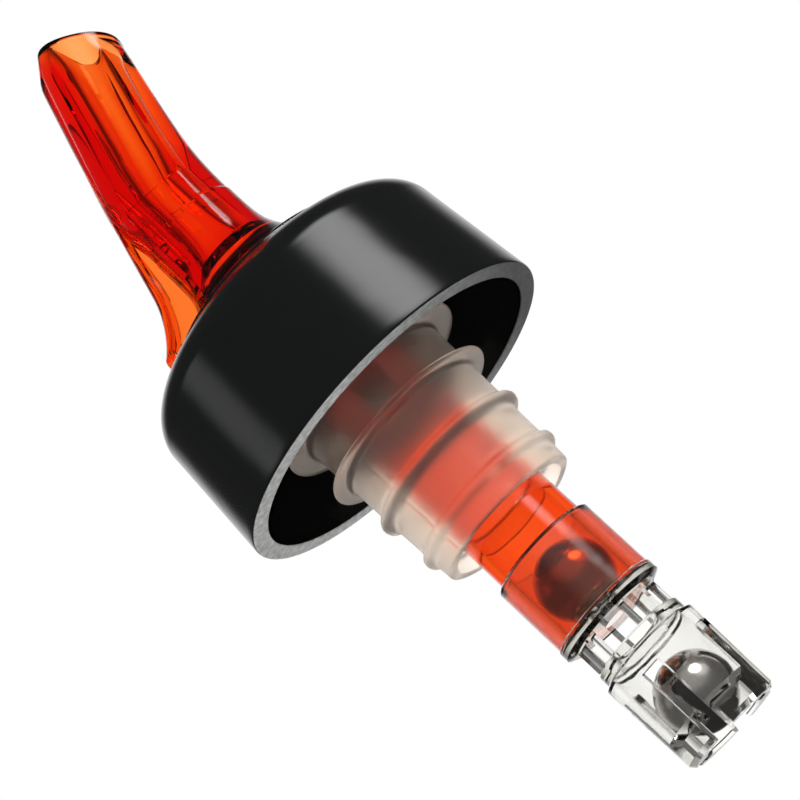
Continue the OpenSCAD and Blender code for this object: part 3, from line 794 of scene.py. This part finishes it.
def makeWorld():
    # each kind of ray sees its own surroundings: an even fill for cloudy and matt surfaces, the
    # dark room with its tent and boxes in a gloss or through clear plastic, and plain white for
    # the camera
    world = bpy.data.worlds.new("studio")
    bpy.context.scene.world = world
    world.use_nodes = True
    tree = world.node_tree
    tree.nodes.clear()
    way = addNode(tree, "ShaderNodeTexCoord").outputs["Generated"]
    path = addNode(tree, "ShaderNodeLightPath").outputs
    # a ray that left a cloudy surface keeps the fill
    clean = addNode(tree, "ShaderNodeMath", {"operation": "LESS_THAN", 1: 0.5},
                    {0: path["Diffuse Depth"]})
    straight = addNode(tree, "ShaderNodeMath", {"operation": "MULTIPLY"}, {
        0: clean.outputs[0], 1: path["Is Transmission Ray"]})
    mix = addNode(tree, "ShaderNodeBackground", {"Color": (1, 1, 1, 1), "Strength": studio["fill"]})
    # a ray through clear plastic counts as glossy too, so the clear light comes after the gloss
    for share, light in ((path["Is Glossy Ray"], {"Strength": roomLight(tree, way, "gloss")}),
                         (straight.outputs[0], {"Strength": clearLight(tree, way)}),
                         (path["Is Camera Ray"], {})):
        shown = addNode(tree, "ShaderNodeBackground", {"Color": (1, 1, 1, 1)}, light)
        mix = addNode(tree, "ShaderNodeMixShader", links={
            0: share, 1: mix.outputs[0], 2: shown.outputs[0]})
    addNode(tree, "ShaderNodeOutputWorld", links={"Surface": mix.outputs[0]})


def makeLamp():
    # a round soft box above the camera that faces the object
    lamp = studio["lamp"]
    data = bpy.data.lights.new("softBox", "AREA")
    data.shape, data.size, data.energy = "DISK", lamp["width"], lamp["watts"]
    made = bpy.data.objects.new("softBox", data)
    made.visible_glossy = False
    place = Vector(lamp["place"])
    facing = place.to_track_quat("Z", "Y").to_matrix().to_4x4()
    made.matrix_world = Matrix.Translation(place) @ facing
    bpy.context.scene.collection.objects.link(made)


def makeFloor():
    # one flat square of pale paper; in a gloss or through clear plastic it shows the room's light
    # instead, by the way from the object to the point, so that the tent carries on there
    size, z = studio["floorSize"], studio["floorHeight"]
    mesh = bpy.data.meshes.new("floor")
    corners = [(-size, -size, z), (size, -size, z), (size, size, z), (-size, size, z)]
    mesh.from_pydata(corners, [], [(0, 1, 2, 3)])
    floor = bpy.data.objects.new("floor", mesh)
    bpy.context.scene.collection.objects.link(floor)
    made, tree = newMaterial("pale paper")
    place = addNode(tree, "ShaderNodeTexCoord").outputs["Object"]
    way = addNode(tree, "ShaderNodeVectorMath", {"operation": "NORMALIZE"}, {0: place}).outputs[0]
    path = addNode(tree, "ShaderNodeLightPath").outputs
    mix = addNode(tree, "ShaderNodeBsdfPrincipled", {
        "Base Color": linearColour("#f4f4f4"), "Roughness": 0.8})
    for ray, light in (("Is Glossy Ray", roomLight(tree, way, "gloss")),
                       ("Is Transmission Ray", clearLight(tree, way))):
        shown = addNode(tree, "ShaderNodeEmission", links={"Strength": light})
        mix = addNode(tree, "ShaderNodeMixShader", links={
            0: path[ray], 1: mix.outputs[0], 2: shown.outputs[0]})
    addNode(tree, "ShaderNodeOutputMaterial", links={"Surface": mix.outputs[0]})
    mesh.materials.append(made)


makeWorld()
makeLamp()
makeFloor()
scene = bpy.context.scene
scene.view_settings.view_transform = "Standard"
# light crosses many walls on its way through the clear pieces
scene.cycles.max_bounces, scene.cycles.transmission_bounces = 40, 40
print("studio made")
